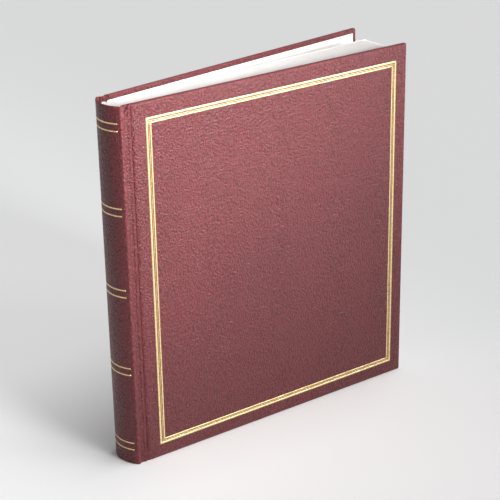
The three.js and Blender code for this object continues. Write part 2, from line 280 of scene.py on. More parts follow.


# %% [markdown]
# The grain is one effect for the leatherette and for the foil pressed on it, so it is a node group.
# Cells about a millimetre and a half across give the pebbles, and a noise breaks up their rows. It gives
# a height for the bump and a mask of the hollows, which are duller and get a painted shade.

# %% The grain of leatherette
grain_fineness = 620
grain, grain_in, grain_out = new_group(
    "pebbled_grain",
    [("Place", "Vector"), ("Fineness", "Float")],
    [("Height", "Float"), ("Hollow", "Float")],
)
pebbles = add_node(grain, "TexVoronoi", {"Randomness": 0.9}, feature="SMOOTH_F1")
pores = add_node(grain, "TexNoise", {"Detail": 3, "Roughness": 0.6})
finer = add_node(grain, "Math", {1: 2.3}, operation="MULTIPLY")
uneven = add_node(grain, "Math", {1: 0.5}, operation="MULTIPLY")
height = add_node(grain, "Math", operation="ADD")
hollow = add_node(grain, "MapRange", {"From Min": 0.45, "From Max": 0.95})
link(
    grain,
    (grain_in.outputs["Place"], pebbles.inputs["Vector"]),
    (grain_in.outputs["Place"], pores.inputs["Vector"]),
    (grain_in.outputs["Fineness"], pebbles.inputs["Scale"]),
    (grain_in.outputs["Fineness"], finer.inputs[0]),
    (finer.outputs[0], pores.inputs["Scale"]),
    (pores.outputs["Fac"], uneven.inputs[0]),
    (pebbles.outputs["Distance"], height.inputs[0]),
    (uneven.outputs[0], height.inputs[1]),
    (height.outputs[0], hollow.inputs["Value"]),
    (height.outputs[0], grain_out.inputs["Height"]),
    (hollow.outputs["Result"], grain_out.inputs["Hollow"]),
)
print("grain group:", len(grain.nodes), "nodes")


# %% [markdown]
# The same leatherette covers the spine, the joints and the boards. Its colour varies slowly from place
# to place, and a painted shade darkens the hollows of the grain. Along the rims it is a little paler,
# partly as wear where hands and shelves rub and partly as a painted highlight on the edges. Each piece
# carries its own `rim` attribute, 1 on the rim and 0 away from it. A thin sheen stands for the soft glow
# that embossed vinyl has at a low angle.

# %% Leatherette
def leatherette_material(name, deep, light, bump):
    material = bpy.data.materials.new(name)
    material.use_nodes = True
    tree = material.node_tree
    shader = tree.nodes["Principled BSDF"]
    shader.inputs["Specular IOR Level"].default_value = 0.5
    shader.inputs["Sheen Weight"].default_value = 0.1
    shader.inputs["Sheen Roughness"].default_value = 0.4
    shader.inputs["Sheen Tint"].default_value = (1.0, 0.75, 0.75, 1)
    place = add_node(tree, "TexCoord")
    pebbled = add_node(tree, "Group", node_tree=grain)
    pebbled.inputs["Fineness"].default_value = grain_fineness
    drift = add_node(tree, "TexNoise", {"Scale": 9, "Detail": 2})
    rim = add_node(tree, "Attribute", attribute_name="rim")
    patchy = add_node(tree, "TexNoise", {"Scale": 160, "Detail": 3})
    wear_and_highlight_mask = add_node(tree, "Math", operation="MULTIPLY")
    colour = add_node(tree, "Mix", {"A": (*deep, 1), "B": (*light, 1)}, data_type="RGBA")
    # Painted shade: the hollows of the grain are darkened to less than half the colour.
    hollow_shade_colour = [channel * 0.45 for channel in deep]
    painted_hollow_shade = add_node(tree, "Mix", {"B": (*hollow_shade_colour, 1)}, data_type="RGBA")
    hollow_shade_share = add_node(tree, "Math", {1: 0.85}, operation="MULTIPLY")
    # Partly wear and partly a painted highlight: the rims are paler, in patches.
    palest_wear_and_highlight = [min(channel * 2.2 + 0.02, 1) for channel in light]
    rubbed_and_highlit = add_node(tree, "Mix", {"B": (*palest_wear_and_highlight, 1)}, data_type="RGBA")
    slight_wear_and_highlight = add_node(tree, "Math", {1: 0.2}, operation="MULTIPLY")
    gloss = add_node(tree, "MapRange", {"To Min": 0.3, "To Max": 0.6})
    bumps = add_node(tree, "Bump", {"Strength": bump, "Distance": 0.001})
    link(
        tree,
        (place.outputs["Object"], pebbled.inputs["Place"]),
        (place.outputs["Object"], drift.inputs["Vector"]),
        (place.outputs["Object"], patchy.inputs["Vector"]),
        (drift.outputs["Fac"], colour.inputs["Factor"]),
        (pebbled.outputs["Hollow"], hollow_shade_share.inputs[0]),
        (hollow_shade_share.outputs[0], painted_hollow_shade.inputs["Factor"]),
        (colour.outputs["Result"], painted_hollow_shade.inputs["A"]),
        (rim.outputs["Fac"], wear_and_highlight_mask.inputs[0]),
        (patchy.outputs["Fac"], wear_and_highlight_mask.inputs[1]),
        (wear_and_highlight_mask.outputs[0], slight_wear_and_highlight.inputs[0]),
        (slight_wear_and_highlight.outputs[0], rubbed_and_highlit.inputs["Factor"]),
        (painted_hollow_shade.outputs["Result"], rubbed_and_highlit.inputs["A"]),
        (rubbed_and_highlit.outputs["Result"], shader.inputs["Base Color"]),
        (pebbled.outputs["Hollow"], gloss.inputs["Value"]),
        (gloss.outputs["Result"], shader.inputs["Roughness"]),
        (pebbled.outputs["Height"], bumps.inputs["Height"]),
        (bumps.outputs["Normal"], shader.inputs["Normal"]),
    )
    return material


deep_burgundy, light_burgundy = (0.112, 0.008, 0.012), (0.170, 0.014, 0.019)
leather = leatherette_material("burgundy_leatherette", deep_burgundy, light_burgundy, 1.0)


# %% [markdown]
# Gold foil is pressed on with a hot brass die. It is a real metal film, so it is metallic, but it
# takes the grain of what is under it, is duller where the grain is deep, and gets a painted shade there, a
# darker gold.

# %% Gold foil
def foil_material():
    material = bpy.data.materials.new("gold_foil")
    material.use_nodes = True
    tree = material.node_tree
    shader = tree.nodes["Principled BSDF"]
    shader.inputs["Metallic"].default_value = 0.85
    place = add_node(tree, "TexCoord")
    pebbled = add_node(tree, "Group", node_tree=grain)
    pebbled.inputs["Fineness"].default_value = grain_fineness
    # Painted shade: a darker gold in the hollows of the grain.
    colour = add_node(
        tree, "Mix", {"A": (1.0, 0.82, 0.46, 1), "B": (0.8, 0.58, 0.25, 1)}, data_type="RGBA"
    )
    gloss = add_node(tree, "MapRange", {"To Min": 0.3, "To Max": 0.5})
    bumps = add_node(tree, "Bump", {"Strength": 0.15, "Distance": 0.0002})
    link(
        tree,
        (place.outputs["Object"], pebbled.inputs["Place"]),
        (pebbled.outputs["Hollow"], colour.inputs["Factor"]),
        (colour.outputs["Result"], shader.inputs["Base Color"]),
        (pebbled.outputs["Hollow"], gloss.inputs["Value"]),
        (gloss.outputs["Result"], shader.inputs["Roughness"]),
        (pebbled.outputs["Height"], bumps.inputs["Height"]),
        (bumps.outputs["Normal"], shader.inputs["Normal"]),
    )
    return material


foil = foil_material()


# %% [markdown]
# Paper, card, board, foam and cloth are all dull and fibrous, and differ in colour and in the size and
# direction of their fibres. One group gives fibres stretched along the height of the sheet, and each
# material places it with its own values.

# %% Paper, board, foam and cloth
fibres, fibres_in, fibres_out = new_group(
    "fibres", [("Place", "Vector"), ("Fineness", "Float")], [("Height", "Float"), ("Fleck", "Float")]
)
stretch = add_node(fibres, "Mapping", {"Scale": (1.0, 1.0, 0.35)})
strands = add_node(fibres, "TexNoise", {"Detail": 4, "Roughness": 0.65})
fleck = add_node(fibres, "MapRange", {"From Min": 0.5, "From Max": 0.75})
link(
    fibres,
    (fibres_in.outputs["Place"], stretch.inputs["Vector"]),
    (stretch.outputs["Vector"], strands.inputs["Vector"]),
    (fibres_in.outputs["Fineness"], strands.inputs["Scale"]),
    (strands.outputs["Fac"], fleck.inputs["Value"]),
    (strands.outputs["Fac"], fibres_out.inputs["Height"]),
    (fleck.outputs["Result"], fibres_out.inputs["Fleck"]),
)


def fibrous_material(name, colour, flecked, fineness, roughness, bump, alpha=1.0):
    """A sheet material of one colour with flecks of another."""
    material = bpy.data.materials.new(name)
    material.use_nodes = True
    tree = material.node_tree
    shader = tree.nodes["Principled BSDF"]
    shader.inputs["Roughness"].default_value = roughness
    shader.inputs["Alpha"].default_value = alpha
    place = add_node(tree, "TexCoord")
    fibrous = add_node(tree, "Group", node_tree=fibres)
    fibrous.inputs["Fineness"].default_value = fineness
    mixed = add_node(tree, "Mix", {"A": (*colour, 1), "B": (*flecked, 1)}, data_type="RGBA")
    bumps = add_node(tree, "Bump", {"Strength": bump, "Distance": 0.0001})
    link(
        tree,
        (place.outputs["Object"], fibrous.inputs["Place"]),
        (fibrous.outputs["Fleck"], mixed.inputs["Factor"]),
        (mixed.outputs["Result"], shader.inputs["Base Color"]),
        (fibrous.outputs["Height"], bumps.inputs["Height"]),
        (bumps.outputs["Normal"], shader.inputs["Normal"]),
    )
    return material


endpaper = fibrous_material("endpaper", (0.90, 0.89, 0.86), (0.84, 0.82, 0.78), 500, 0.85, 0.2)
leaf_card = fibrous_material("leaf_card", (0.74, 0.71, 0.69), (0.66, 0.62, 0.59), 900, 0.8, 0.25)
guard_paper = fibrous_material("guard_paper", (0.72, 0.69, 0.66), (0.62, 0.58, 0.53), 1200, 0.9, 0.3)
greyboard = fibrous_material("greyboard", (0.34, 0.32, 0.29), (0.22, 0.20, 0.18), 800, 0.95, 0.5)
foam = fibrous_material("foam", (0.82, 0.79, 0.70), (0.66, 0.62, 0.54), 1500, 0.95, 0.6)
linen = fibrous_material("linen_tape", (0.85, 0.83, 0.78), (0.62, 0.59, 0.54), 2500, 0.9, 0.5)
glassine = fibrous_material("glassine", (0.88, 0.88, 0.85), (0.80, 0.80, 0.77), 300, 0.35, 0.15, alpha=0.6)
film = plain_material("clear_film", (0.93, 0.95, 0.96), 0.12)
film.node_tree.nodes["Principled BSDF"].inputs["Alpha"].default_value = 0.3
print(len(bpy.data.materials), "materials")


# %% [markdown]
# ## Tools of the trade
#
# A few small tools serve every piece. One adds a block between two corners, one selects by place, as a
# hand would with a lasso, one finishes a modifier, and one turns a piece from shut to rest.

# %% Modelling helpers
def add_block(name, low, high):
    """A block between two corners, ready to be worked on in edit mode."""
    deselect()
    bpy.ops.mesh.primitive_cube_add(size=1, location=(low + high) / 2)
    block = bpy.context.object
    block.name = name
    block.scale = high - low
    bpy.ops.object.transform_apply(location=True, rotation=True, scale=True)
    bpy.ops.object.mode_set(mode="EDIT")
    return block


def select_where(piece, kind, test):
    """Selects the vertices, edges or faces of a piece in edit mode that pass a test."""
    bpy.ops.mesh.select_mode(type=kind)
    bpy.ops.mesh.select_all(action="DESELECT")
    shape = bmesh.from_edit_mesh(piece.data)
    for item in {"VERT": shape.verts, "EDGE": shape.edges, "FACE": shape.faces}[kind]:
        item.select_set(bool(test(item)))
    shape.select_flush_mode()
    bmesh.update_edit_mesh(piece.data)


def spans(edge, axis, least):
    """Whether an edge runs further than a least length along one axis."""
    return abs(edge.verts[0].co[axis] - edge.verts[1].co[axis]) > least


def slice_at(axis, places):
    """Cuts every face of the piece in edit mode along planes across one axis."""
    for place in places:
        bpy.ops.mesh.select_all(action="SELECT")
        point = [0, 0, 0]
        point[axis] = place
        bpy.ops.mesh.bisect(plane_co=point, plane_no=[float(axis == i) for i in range(3)])


def take_up(piece):
    """Makes one piece the selected and active one."""
    deselect()
    piece.select_set(True)
    bpy.context.view_layer.objects.active = piece


def done_editing(piece, angle=40):
    """Leaves edit mode and shades the piece smooth, but for edges sharper than an angle."""
    bpy.ops.object.mode_set(mode="OBJECT")
    take_up(piece)
    bpy.ops.object.shade_smooth_by_angle(angle=math.radians(angle))


def finish_modifier(piece, kind, **settings):
    """Adds a modifier with its settings and applies it."""
    modifier = piece.modifiers.new(kind.lower(), kind)
    for name, value in settings.items():
        setattr(modifier, name, value)
    take_up(piece)
    bpy.ops.object.modifier_apply(modifier=modifier.name)


def weigh(piece, name, weight):
    """A vertex group whose weights come from a function of the vertex's place."""
    group = piece.vertex_groups.new(name=name)
    for vertex in piece.data.vertices:
        group.add([vertex.index], weight(vertex.co), "REPLACE")


def mark_rim(piece, distance, width):
    """The `rim` attribute: 1 where the distance to the rim is 0, and 0 from the width inwards."""
    rim = piece.data.attributes.new("rim", "FLOAT", "POINT")
    for vertex, value in zip(piece.data.vertices, rim.data):
        value.value = 1 - ease(distance(vertex.co) / width)


def ease(share):
    """0 below 0 and 1 above 1, with a smooth rise between."""
    share = min(max(share, 0), 1)
    return share * share * (3 - 2 * share)


def open_to_rest(piece, body):
    """Turns a piece that was modelled shut about its fold, to where its body rests."""
    take_up(piece)
    pivot, angle = folds[body]
    bpy.ops.transform.rotate(value=-angle, orient_axis="Z", center_override=pivot)
    bpy.ops.object.transform_apply(location=True, rotation=True, scale=True)


def make_of(piece, material):
    piece.data.materials.clear()
    piece.data.materials.append(material)


def hand_over(piece, body, material, slot, *nodes):
    """Gives a finished piece its material and its body, and hides the CAD nodes that it stands for."""
    make_of(piece, material)
    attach(piece, body)
    if nodes:
        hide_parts(*nodes)


# %% [markdown]
# ## The section of the case
#
# One sheet of leatherette runs over the spine, through the joints and over the boards. The joint is
# pressed with a hot iron: from the shoulder outwards it has a low ridge, a groove, a second ridge and a
# deeper groove beside the board. One function gives its depth below the cover's face, so the pieces
# that meet there match. At the head and the tail the sheet bunches where it is folded in. At the head a
# slanting fold runs from beside the spine to the corner of the board, with a hollow beyond it, and at
# the tail the deeper groove bends outwards.

# %% Depth of the pressed joint
joint_keys = [(0, 0.4), (1.4, 0.15), (4.0, 1.1), (5.6, 1.1), (7.8, 0.3), (10, 1.2), (12.1, 0)]
split_x = shoulder_x + 4 * MM
turned_x = shoulder_x + 7.8 * MM
board_x = shoulder_x + 9.4 * MM
press_end = shoulder_x + 12.1 * MM
press_depth = 0.75 * MM


def joint_depth(x):
    """How far the leatherette lies below the cover's face."""
    place = (x - shoulder_x) / MM
    for (start, depth), (end, next_depth) in zip(joint_keys, joint_keys[1:]):
        if place <= end:
            return (depth + (next_depth - depth) * ease((place - start) / (end - start))) * MM
    return 0


def fold_depth(x, z, from_end, start, end, rise, hollow, width):
    """The depth of a slanting fold between two points, given as (x, distance from the end) in mm."""
    along = Vector((end[0] - start[0], end[1] - start[1]))
    place = Vector(((x - shoulder_x) / MM - start[0], from_end(z) / MM - start[1]))
    across = (place.x * along.y - place.y * along.x) / along.length
    share = place.dot(along) / along.length_squared
    fade = ease(share * 4 + 1) * ease((1.6 - share) * 2)
    return fade * (hollow * ease(across / 2.5) - rise * math.exp(-((across / width) ** 2))) * MM


def bunch_depth(x, z):
    """The extra depth of the bunched leatherette at the head and at the tail."""
    at_head = fold_depth(x, z, lambda height: head_z - height, (2.2, 9), (8.4, 1), 0.9, 0.8, 0.9)
    at_tail = fold_depth(x, z, lambda height: height - tail_z, (9.6, 16), (12.8, 0), -0.45, 0, 1.4)
    return (at_head + at_tail) * ease((x - shoulder_x) / (2.2 * MM))


depths = [round(joint_depth(shoulder_x + step * MM) / MM, 2) for step in range(0, 15, 2)]
print("joint depths, every 2 mm from the shoulder:", depths)


# %% [markdown]
# Displace pushes every point along one direction by its weight, like a brush with a painted mask. Here
# the weights come from a function, so that neighbours agree, and one tool serves all the pressing.

# %% Pushing a surface by a function
def push(piece, direction, amount):
    """Moves each point along Y or Z by a function of its place, through the Displace modifier."""
    amounts = [amount(vertex.co) for vertex in piece.data.vertices]
    reach = max(abs(value) for value in amounts)
    for sign in (1, -1):
        if any(sign * value > 0 for value in amounts):
            group = piece.vertex_groups.new(name="push")
            for vertex, value in zip(piece.data.vertices, amounts):
                group.add([vertex.index], max(sign * value, 0) / reach, "REPLACE")
            settings = {"direction": direction, "strength": sign * reach, "mid_level": 0}
            finish_modifier(piece, "DISPLACE", vertex_group="push", **settings)
            piece.vertex_groups.clear()


# %% [markdown]
# ## The covers
#
# A cover's leatherette is folded over the edges of the board and glued down inside. It could be a flat
# sheet that is folded, but a shell is quicker and truer: a slab with soft edges, opened by a window on
# its inner side and then given the sheet's thickness. The foam under it makes the face swell a little
# from its edges, and no padded face is perfectly even, so a slow ripple is added.

# %% Swell of a padded face
skin = 0.4 * MM
turn_in = 15 * MM
swell_height = 0.3 * MM
swell_reach = 30 * MM
ripple = bpy.data.textures.new("slow_ripple", "CLOUDS")
ripple.noise_scale = 0.045


def edge_distance(low, high):
    """How far a point lies inside the outline of a cover, from the nearest edge."""
    return lambda point: min(point.x - low.x, high.x - point.x, point.z - low.z, high.z - point.z)


def swell(piece, side, low, high):
    """Lets the outer face of a padded piece swell and ripple, more towards its middle."""
    outer_y = high.y if SIDES[side] > 0 else low.y
    inside = edge_distance(low, high)

    def weight(point):
        on_face = abs(point.y - outer_y) < 0.01 * MM
        return ease(inside(point) / swell_reach) ** 0.5 if on_face else 0

    weigh(piece, "swell", weight)
    outward = SIDES[side] * swell_height
    common = {"direction": "Y", "vertex_group": "swell"}
    finish_modifier(piece, "DISPLACE", strength=outward, mid_level=0, **common)
    finish_modifier(piece, "DISPLACE", strength=outward, mid_level=0.5, texture=ripple, **common)
    piece.vertex_groups.clear()


# %% [markdown]
# The shell starts as a block. Its corners at the fore edge are bevelled, and then the edges of both its
# faces. It is sliced finely near its edges and coarsely between, so that the face can swell, and the
# window is deleted. After the swell, the edge beside the joint is pressed down to slope into the groove.

# %% Cover shell
outer_edge, inner_edge, corner = 1.3 * MM, 0.6 * MM, 1.2 * MM


def steps_between(low, high, fine, coarse, reach):
    """Places from low to high: close together within reach of both ends, and wider apart between."""
    ends = [step * fine for step in range(1, int(reach / fine) + 1)]
    middle = high - low - 2 * reach
    count = max(int(middle / coarse), 1)
    between = [reach + middle * step / count for step in range(1, count)]
    return [low + place for place in ends + between] + [high - place for place in reversed(ends)]


def cover_shell(side):
    sign = SIDES[side]
    low, high = (corner_point.copy() for corner_point in cover_box[side])
    low.x = board_x
    outer_y, inner_y = (high.y, low.y) if sign > 0 else (low.y, high.y)
    shell = add_block(f"{side}_cover_leather", low, high)
    select_where(shell, "EDGE", lambda edge: spans(edge, 1, MM) and edge.verts[0].co.x > 0)
    bpy.ops.mesh.bevel(offset=corner, segments=4, affect="EDGES")
    for level, radius, segments in ((outer_y, outer_edge, 5), (inner_y, inner_edge, 3)):
        select_where(shell, "EDGE", lambda edge: all(abs(v.co.y - level) < 1e-6 for v in edge.verts))
        bpy.ops.mesh.bevel(offset=radius, segments=segments, affect="EDGES")
    pressed = [press_end - step * MM for step in (1.0, 0.7, 0.4)]
    slice_at(0, pressed + steps_between(low.x, high.x, 5 * MM, 9 * MM, 30 * MM))
    slice_at(2, steps_between(low.z, high.z, 1.5 * MM, 9 * MM, 18 * MM))
    inside = edge_distance(low, high)
    select_where(
        shell,
        "FACE",
        lambda face: abs(face.calc_center_median().y - inner_y) < 1e-6
        and inside(face.calc_center_median()) > turn_in,
    )
    bpy.ops.mesh.delete(type="FACE")
    done_editing(shell, 35)
    mark_rim(shell, inside, 2.5 * MM)
    swell(shell, side, low, high)

    def press(point):
        if point.x > press_end or abs(point.y - outer_y) > 1.5 * MM:
            return 0
        drop = press_depth * ease((press_end - point.x) / (press_end - board_x))
        return -sign * (drop + bunch_depth(point.x, point.z))

    push(shell, "Y", press)
    finish_modifier(shell, "SOLIDIFY", thickness=skin, offset=-1)
    return shell


covers = {side: cover_shell(side) for side in SIDES}
for side, shell in covers.items():
    print(shell.name, len(shell.data.polygons), "faces")

# %% [markdown]
# ## The gold border
#
# The border is three lines of foil: a broad one outside, a hairline and a narrower one inside. Each is
# a plane inset to a frame, so its corners are mitred as the die's are, then cut into short lengths that
# can follow the padded face. Shrinkwrap lays it on the leatherette, and Solidify gives the film a body.

# %% Foil lines on the front cover
foil_lift, foil_body = 0.05 * MM, 0.05 * MM
foil_length = 3 * MM
line_width = {"outer_line": 1.9 * MM, "hairline": 0.5 * MM, "inner_line": 1.3 * MM}


def foil_frame(node):
    low, high = shut_box(node)
    level = cover_box["front"][0].y - MM
    deselect()
    bpy.ops.mesh.primitive_plane_add(size=1, location=(0, 0, 0), rotation=(math.radians(90), 0, 0))
    frame_line = bpy.context.object
    frame_line.name = f"{node}_foil"
    frame_line.scale = (high.x - low.x, high.z - low.z, 1)
    frame_line.location = ((low.x + high.x) / 2, level, (low.z + high.z) / 2)
    bpy.ops.object.transform_apply(location=True, rotation=True, scale=True)
    bpy.ops.object.mode_set(mode="EDIT")
    bpy.ops.mesh.select_all(action="SELECT")
    bpy.ops.mesh.inset(thickness=line_width[node.removeprefix("front_border_")], depth=0)
    bpy.ops.mesh.delete(type="FACE")
    slice_at(0, steps_between(low.x, high.x, foil_length, foil_length, foil_length))
    slice_at(2, steps_between(low.z, high.z, foil_length, foil_length, foil_length))
    done_editing(frame_line, 60)
    finish_modifier(
        frame_line, "SHRINKWRAP", target=covers["front"], wrap_method="PROJECT", use_project_y=True,
        use_negative_direction=True, use_positive_direction=True, offset=foil_lift,
    )
    finish_modifier(frame_line, "SOLIDIFY", thickness=foil_body, offset=-1)
    return frame_line


border = {node: foil_frame(node) for node in frame["nodes"] if node.startswith("front_border")}
for node, line in border.items():
    open_to_rest(line, "front_cover")
    hand_over(line, "front_cover", foil, "gold_foil", node)
for side, shell in covers.items():
    open_to_rest(shell, f"{side}_cover")
    hand_over(shell, f"{side}_cover", leather, "leatherette", f"{side}_leatherette")
print(len(border), "border lines, and both covers turned to rest")


# %% [markdown]
# ## The spine and the joints
#
# The spine's leatherette is drawn as a sheet: an upright line of points is pulled along the section,
# from the first groove over the shoulder, spun round the back and pulled on to the other groove. The
# sheet then gets the thickness of the folded hem, its ends are rounded, and the middle of its inner
# side is taken away, so that only the hems at head and tail are double.

# %% Drawing an upright sheet
def upright_line(name, x, y, rows):
    """A line of points that stands at a place, with a point at each height."""
    deselect()
    bpy.ops.mesh.primitive_plane_add(size=MM, location=(x, y, rows[0]))
    line = bpy.context.object
    line.name = name
    bpy.ops.object.transform_apply(location=True, rotation=True, scale=True)
    bpy.ops.object.mode_set(mode="EDIT")
    bpy.ops.mesh.select_mode(type="VERT")
    bpy.ops.mesh.select_all(action="SELECT")
    bpy.ops.mesh.merge(type="CENTER")
    for low, high in zip(rows, rows[1:]):
        bpy.ops.mesh.extrude_region_move(TRANSFORM_OT_translate={"value": (0, 0, high - low)})
    bpy.ops.mesh.select_all(action="SELECT")
    return line


def pull_along(points):
    """Draws the selected line out through a row of (x, y) points."""
    for (x0, y0), (x1, y1) in zip(points, points[1:]):
        bpy.ops.mesh.extrude_region_move(TRANSFORM_OT_translate={"value": (x1 - x0, y1 - y0, 0)})


def face_outwards(piece, outward):
    """Flips the sheet in edit mode if its faces look away from outside."""
    bpy.ops.mesh.select_all(action="SELECT")
    shape = bmesh.from_edit_mesh(piece.data)
    shape.normal_update()
    total = sum(face.normal.dot(outward(face.calc_center_median())) for face in shape.faces)
    if total < 0:
        bpy.ops.mesh.flip_normals()


def hem(piece, wall, fold_in, outward, ends_at):
    """Makes a sheet into a skin that is folded in at head and tail, a wall's thickness deep."""
    middle_rows = (tail_z + fold_in, head_z - fold_in)
    finish_modifier(piece, "SOLIDIFY", thickness=wall, offset=-1)
    bpy.ops.object.mode_set(mode="EDIT")

    def end_edge(edge):
        heights = [vertex.co.z for vertex in edge.verts]
        at_end = all(min(z - tail_z, head_z - z) < 0.01 * MM for z in heights)
        return at_end and edge.calc_face_angle(0) > 0.6 and not all(ends_at(v.co) for v in edge.verts)

    select_where(piece, "EDGE", end_edge)
    bpy.ops.mesh.bevel(offset=min(wall * 0.42, 0.7 * MM), segments=3, affect="EDGES")
    slice_at(2, middle_rows)

    def opened(face):
        centre = face.calc_center_median()
        inner = face.normal.dot(outward(centre)) < -0.3
        between = middle_rows[0] < centre.z < middle_rows[1]
        return (inner and between) or all(ends_at(vertex.co) for vertex in face.verts)

    select_where(piece, "FACE", opened)
    bpy.ops.mesh.delete(type="FACE")
    done_editing(piece, 40)
    finish_modifier(piece, "SOLIDIFY", thickness=skin, offset=-1)
    for vertex in piece.data.vertices:
        vertex.co.z = min(max(vertex.co.z, tail_z), head_z)


# %% [markdown]
# The round of the spine is an arc through both shoulders, so its radius and centre follow from how far
# it stands out and how thick the album is there. The sheet gets a wall, and the inside of the wall is
# opened between head and tail, which leaves the leatherette folded in at both ends.

# %% The spine
sheet_rows = [tail_z, *steps_between(tail_z, head_z, MM, 10 * MM, 18 * MM), head_z]
shoulder_y = face_y - joint_depth(shoulder_x)
spine_radius = (shoulder_y**2 + spine_rise**2) / (2 * spine_rise)
spine_centre = Vector((cad_low.x + spine_radius, middle_y, 0))
spine_half_angle = math.asin(shoulder_y / spine_radius)
spine_wall = 1.68 * MM
hem_rim = 2.2 * MM


def joint_line(sign, start, end, count):
    """Points of the joint's section between two places across the album."""
    places = [start + (end - start) * step / count for step in range(count + 1)]
    return [(x, middle_y + sign * (face_y - joint_depth(x))) for x in places]


def outward_of_spine(point):
    if point.x > shoulder_x:
        return Vector((0, 1 if point.y > middle_y else -1, 0))
    return (point - spine_centre).normalized()


def bunch(sign):
    return lambda point: -sign(point) * bunch_depth(point.x, point.z) if point.x > shoulder_x else 0


def spine_shell():
    front_line = joint_line(-1, split_x, shoulder_x, 8)
    shell = upright_line("spine_leather", *front_line[0], sheet_rows)
    pull_along(front_line)
    bpy.ops.mesh.spin(
        steps=44, angle=2 * spine_half_angle, center=spine_centre, axis=(0, 0, 1), use_auto_merge=False
    )
    pull_along([(x, 2 * middle_y - y) for x, y in reversed(front_line)])
    face_outwards(shell, outward_of_spine)
    bpy.ops.mesh.select_all(action="SELECT")
    bpy.ops.mesh.remove_doubles(threshold=1e-6)
    done_editing(shell, 40)
    hem(shell, spine_wall, turn_in, outward_of_spine, lambda point: abs(point.x - split_x) < 1e-5)
    push(shell, "Y", bunch(lambda point: 1 if point.y > middle_y else -1))

    def to_rim(point):
        to_shoulder = abs(point.x - shoulder_x - 0.7 * MM)
        return min(point.z - tail_z, head_z - point.z, to_shoulder * 2)

    mark_rim(shell, to_rim, hem_rim)
    return shell


spine = spine_shell()
spine_x = min(vertex.co.x for vertex in spine.data.vertices)
print("spine:", len(spine.data.polygons), "faces, back at x", round(spine_x, 4))
hand_over(spine, "binding", leather, "leatherette", "spine_cover")

# %% [markdown]
# The rest of the joint is the hinge itself: it starts on the spine's side of the first groove and ends
# under the edge of the board. A paper lining is glued inside it, and covers the edge of the board as far
# as the endpaper.

# %% The joints
joint_wall, joint_turn_in = 2.4 * MM, 4.6 * MM
joint_end = board_x + 0.7 * MM
lining_paper = 0.2 * MM
lining_depth, lining_end_depth, lining_foot_depth = 1.8 * MM, 2.25 * MM, 4.0 * MM


def bend_to_rest(piece, side):
    """Turns each point of a joint about the hinge by its share of the cover's resting angle."""
    pivot, angle = folds[f"{side}_cover"]
    for vertex in piece.data.vertices:
        share = ease((vertex.co.x - split_x) / (turned_x - split_x))
        vertex.co = pivot + Matrix.Rotation(share * angle, 3, "Z") @ (vertex.co - pivot)
    piece.data.update()


def into_joint(piece, side, material):
    """Bends a finished joint piece to rest and gives it its material."""
    bend_to_rest(piece, side)
    make_of(piece, material)
    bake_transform(piece)


def joint_leather(side):
    sign = SIDES[side]
    section = joint_line(sign, split_x, joint_end, 14)
    strip = upright_line(f"{side}_joint_leather", *section[0], sheet_rows)
    pull_along(section)

    def outward(point):
        return Vector((0, sign, 0))

    def ends_at(point):
        return min(abs(point.x - place) for place in (split_x, joint_end)) < 1e-5

    face_outwards(strip, outward)
    done_editing(strip, 40)
    hem(strip, joint_wall, joint_turn_in, outward, ends_at)
    push(strip, "Y", bunch(lambda point: sign))
    mark_rim(strip, lambda point: min(point.z - tail_z, head_z - point.z), hem_rim)
    return strip


def joint_lining(side):
    sign = SIDES[side]
    low_z, high_z = (corner_point.z for corner_point in shut_box(f"{side}_hinge_cloth"))
    near = middle_y + sign * (face_y - lining_depth)
    far = middle_y + sign * (face_y - lining_end_depth)
    foot = middle_y + sign * (face_y - lining_foot_depth)
    start, corner_x = split_x + 0.3 * MM, board_x - 0.2 * MM
    across = [
        (start + (corner_x - start) * step / 12, near + (far - near) * step / 12) for step in range(13)
    ]
    row_gap = 20 * MM
    rows = [low_z, *steps_between(low_z, high_z, row_gap, row_gap, row_gap), high_z]
    lining = upright_line(f"{side}_joint_lining", *across[0], rows)
    pull_along([*across, (corner_x, foot)])
    face_outwards(lining, lambda point: Vector((0, sign, 0)))
    done_editing(lining, 40)
    finish_modifier(lining, "SOLIDIFY", thickness=lining_paper, offset=-1, use_even_offset=True)
    return lining


for side in SIDES:
    into_joint(joint_leather(side), side, leather)
    into_joint(joint_lining(side), side, endpaper)
print("joints done")

# %% [markdown]
# ## Foil lines on the spine
#
# Ten lines of foil cross the spine in pairs. One is spun round the back from a short upright edge, and
# is given the film's thickness. The others are copies of it, each raised to its own height.

# %% Spine lines
def first_spine_line(node):
    low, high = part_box(node)
    half_angle = math.asin(((high.y - low.y) / 2) / spine_radius)
    radius = spine_radius + foil_lift
    start = spine_centre + Vector((-radius * math.cos(half_angle), -radius * math.sin(half_angle), 0))
    line = upright_line(f"{node}_foil", start.x, start.y, [low.z, high.z])
    bpy.ops.mesh.spin(
        steps=44, angle=2 * half_angle, center=spine_centre, axis=(0, 0, 1), use_auto_merge=False
    )
    face_outwards(line, outward_of_spine)
    done_editing(line, 60)
    finish_modifier(line, "SOLIDIFY", thickness=foil_body, offset=-1)
    return line


line_nodes = sorted(node for node in frame["nodes"] if node.startswith("spine_line"))
first_line = first_spine_line(line_nodes[0])
for node in line_nodes:
    line = first_line
    if node != line_nodes[0]:
        line = first_line.copy()
        line.data = first_line.data.copy()
        line.name = f"{node}_foil"
        bpy.context.scene.collection.objects.link(line)
        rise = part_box(node)[0].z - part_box(line_nodes[0])[0].z
        line.data.transform(Matrix.Translation((0, 0, rise)))
    hand_over(line, "binding", foil, "gold_foil", node)
print(len(line_nodes), "spine lines")

# %% [markdown]
# ## The leaves
#
# A stock leaf is a sheet of white card with eight clear strips welded to each face. Each strip is
# closed at its foot and stands off the card at its mouth, where the stamps go in. Strips are modelled
# once, as one row repeated up the leaf and mirrored to the other face, and each leaf gets a copy that is
# as long as its own card.

# %% One set of pocket strips
card_half = 0.25 * MM
pocket_rows, pocket_height, pocket_weld, mouth = 8, 30 * MM, 3 * MM, 0.15 * MM
film_body = 0.08 * MM
strip_start, strip_end = 14 * MM, 4 * MM


